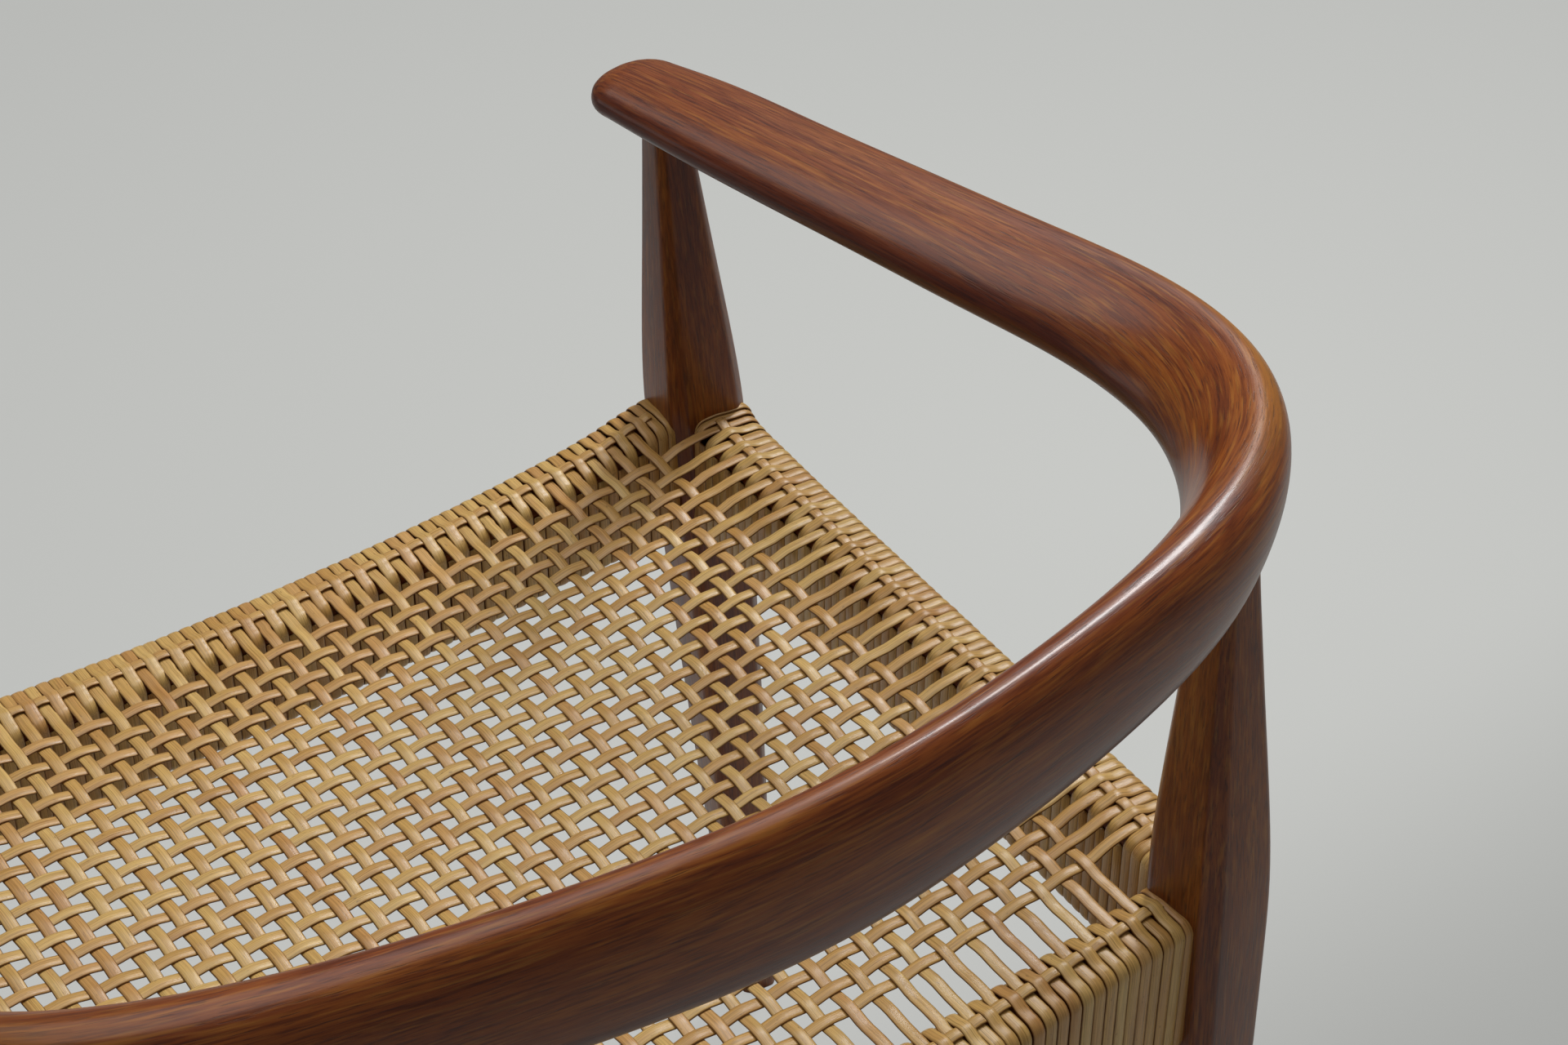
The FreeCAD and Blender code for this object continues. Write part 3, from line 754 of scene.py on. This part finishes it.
# How far each weft bows out of straight, in mm: one row for each place along the seat.
bow_across = np.linspace(-seat_half, seat_half, 11)
bow_along = np.array([-198, -176, -146, -116, -86, -56, -26, 150])
bow_rows = np.array([
    (0, -0.3, -0.4, -0.2, -0.2, -0.2, -0.2, -0.2, -0.3, -0.2, 0),
    (0, -0.8, -0.9, -0.6, -0.6, -0.7, -0.8, -0.7, -0.8, -0.6, 0),
    (0, -1.8, -1.8, -1.4, -1.5, -2.1, -2.2, -2.2, -2.4, -1.6, 0),
    (0, -2.5, -2.3, -2.0, -2.4, -3.3, -3.8, -3.9, -4.1, -2.8, 0),
    (0, -2.8, -2.9, -2.9, -3.2, -4.0, -4.4, -4.3, -4.4, -3.0, 0),
    (0, -3.3, -4.1, -4.3, -4.9, -5.3, -5.4, -5.8, -5.0, -3.4, 0),
    (0, -3.9, -5.2, -5.4, -5.9, -6.5, -6.5, -6.4, -5.6, -3.8, 0),
    (0, -1.0, -1.2, -1.4, -1.5, -1.5, -1.5, -1.4, -1.2, -1.0, 0)])


def weft_line(index, across):
    """Where a side-to-side strip lies: pulled a little forward in the middle of the seat."""
    place = weft_places[index]
    row = np.array([[np.interp(place, bow_along, column)] for column in bow_rows.T])
    return place + fair_curve(bow_across, row, np.atleast_1d(across))[:, 0]


def warp_line(index, along):
    """Where a front-to-rear strip lies; the outermost ones are pulled towards the side rails."""
    share = (along - front_line) / (rear_line - front_line)
    outward = math.exp(-(warp_count - 1 - index) / outer_fade) - math.exp(-index / outer_fade)
    pulled = outer_pull * outward * np.clip(share * 8, 0, 1) * np.clip((1 - share) * 3, 0, 1)
    return warp_places[index] + (rear_places[index] - warp_places[index]) * share + pulled


def ease_in(share):
    """From 0 to 1 with no kink at either end."""
    share = np.clip(share, 0, 1)
    return share * share * (3 - 2 * share)


warps = []
for index in range(warp_count):
    front = warp_places[index]
    rear = rear_places[index]
    crossings = np.array([weft_line(row, front)[0] for row in range(weft_count)])
    first, last = crossings[0], crossings[-1]
    top, low = wound_edges(along_front, front)[:2]
    start = along_front(front, winding(top, low, False))
    top, low = wound_edges(along_rear, rear)[:2]
    stop = along_rear(rear, winding(top, low, False))[::-1]
    counted = np.arange(0, weft_count - 1 + weave_step / 2, weave_step)
    woven = np.interp(counted, range(weft_count), crossings)
    free_in = np.linspace(start[-1, 1] + edge_gap, first - cross_gap, 5)
    free_out = np.linspace(last + cross_gap, stop[0, 1] - edge_gap, 7)
    along = np.concatenate((free_in, woven, free_out))
    counted = np.concatenate(((free_in - first) / weft_pitch, counted,
                              weft_count - 1 + (free_out - last) / weft_pitch))
    across = warp_line(index, along) + chance.normal(0, stray)
    across = across + stray * np.sin(along / 37 + chance.random() * 6)
    wave = np.cos(math.pi * counted) * (-1) ** index
    hold = ease_in((along - start[-1, 1]) / (first - start[-1, 1]))
    hold = hold * ease_in((stop[0, 1] - along) / (stop[0, 1] - last))
    near = ease_in((along - start[-1, 1]) / edge_fade)
    height = seat_height(across, along) + weave_rise * wave * hold + post_rise(front) * (1 - near)
    seat_run = np.stack([across, along, height], 1)
    path = np.concatenate((start, seat_run, stop))
    warps.append(strip(path, np.array((-1.0, 0, 0)), cane_wide * chance.uniform(0.95, 1.04)))
bundle("cane_warps", warps, ["cane_seat"])
wefts = []
for index in range(weft_count):
    place = weft_places[index]
    top, low, flare = wound_edges(along_right, place)
    shape = winding(top, low, False, flare=flare)
    start = along_right(place, shape)
    stop = along_left(place, shape)[::-1]
    crossings = np.array([warp_line(column, place) for column in range(warp_count)])
    first, last = crossings[0], crossings[-1]
    counted = np.arange(0, warp_count - 1 + weave_step / 2, weave_step)
    woven = np.interp(counted, range(warp_count), crossings)
    free_in = np.linspace(start[-1, 0] + edge_gap, first - cross_gap, 5)
    free_out = np.linspace(last + cross_gap, stop[0, 0] - edge_gap, 5)
    across = np.concatenate((free_in, woven, free_out))
    counted = np.concatenate(((free_in - first) / warp_pitch, counted,
                              warp_count - 1 + (free_out - last) / warp_pitch))
    lines = weft_line(index, across) + chance.normal(0, stray)
    lines = lines + stray * np.sin(across / 41 + chance.random() * 6)
    near = np.minimum(ease_in((across - start[-1, 0]) / (first - start[-1, 0])),
                      ease_in((stop[0, 0] - across) / (stop[0, 0] - last)))
    # The strip leaves the rail in line with its turn and then eases over to its own line.
    beside = 1 - ease_in((seat_half - abs(across)) / edge_fade)
    leave = (start[-1, 1] - weft_line(index, start[-1, 0])[0]) * beside
    lines = lines * near + start[-1, 1] * (1 - near) + leave * near
    wave = -np.cos(math.pi * counted) * (-1) ** index
    level = seat_height(across, lines) * near + (top - cane_thick) * (1 - near)
    seat_run = np.stack([across, lines, level + weave_rise * wave * near], 1)
    path = np.concatenate((start, seat_run, stop))
    wefts.append(strip(path, np.array((0, 1.0, 0)), cane_wide * chance.uniform(0.95, 1.04)))
bundle("cane_wefts", wefts, ["cane_seat"])


# Studio: a pale grey sweep under the chair, a broad soft light overhead, a narrow strip
# light that draws the long highlight on the back, and a weak one for the side.
bpy.ops.object.select_all(action="DESELECT")
bpy.ops.mesh.primitive_plane_add(size=14.0, location=(0, 0, 0))
floor = bpy.context.object
floor.name = "studio_floor"
paper = bpy.data.materials.new("grey_paper")
paper.use_nodes = True
tree = paper.node_tree
shader = tree.nodes["Principled BSDF"]
shader.inputs["Roughness"].default_value = 0.9
shader.inputs["Base Color"].default_value = tint(196, 197, 193)
ground = add_node(tree, "TexCoord").outputs["Object"]
# Painted light on the floor as the camera sees it: a painted pool of light, brightest round a point beyond
# the chair and fading outward, and a painted shadow that darkens it towards the camera.
reach = add_node(tree, "VectorMath", {0: ground, 1: (-0.8, -0.45, 0.0)}, operation="DISTANCE")
painted_light_pool = add_node(tree, "MapRange", {0: reach.outputs["Value"], 1: 0.0, 2: 1.2, 3: 1.0, 4: 0.86}).outputs[0]
towards = add_node(tree, "SeparateXYZ", {0: ground}).outputs[1]
painted_shadow = add_node(tree, "MapRange", {0: towards, 1: -0.22, 2: 0.14, 3: 1.0, 4: 0.68},
                  interpolation_type="SMOOTHSTEP").outputs[0]
painted_floor_light = add_node(tree, "Math", {0: painted_light_pool, 1: painted_shadow}, operation="MULTIPLY").outputs[0]
seen = add_node(tree, "LightPath").outputs["Is Camera Ray"]
glow = add_node(tree, "Emission", {"Color": tint(204, 205, 202), "Strength": painted_floor_light})
share = add_node(tree, "Math", {0: seen, 1: 0.8}, operation="MULTIPLY").outputs[0]
mixed = add_node(tree, "MixShader", {0: share, 1: shader.outputs[0], 2: glow.outputs[0]})
tree.links.new(mixed.outputs[0], tree.nodes["Material Output"].inputs["Surface"])
floor.data.materials.append(paper)
world = bpy.data.worlds.new("studio")
bpy.context.scene.world = world
world.use_nodes = True
world.node_tree.nodes["Background"].inputs["Color"].default_value = tint(226, 228, 230)
world.node_tree.nodes["Background"].inputs["Strength"].default_value = 0.2
for name, place, aim, size, power in (
        ("overhead_softbox", (-0.3, -0.45, 2.7), (0, 0, 0.5), (2.3, 2.3), 30.0),
        ("strip_light", (-1.43, -0.89, 2.09), (-0.15, 0.22, 0.69), (0.27, 0.9), 24.0),
        ("side_softbox", (1.9, -1.9, 1.0), (0, 0, 0.5), (1.0, 1.0), 3.0)):
    bpy.ops.object.light_add(type="AREA", location=place)
    lamp = bpy.context.object
    lamp.name = name
    lamp.data.shape = "RECTANGLE"
    lamp.data.size, lamp.data.size_y = size
    lamp.data.energy = power
    lamp.rotation_euler = (Vector(place) - Vector(aim)).to_track_quat("Z", "Y").to_euler()
bpy.context.scene.view_settings.view_transform = "Standard"
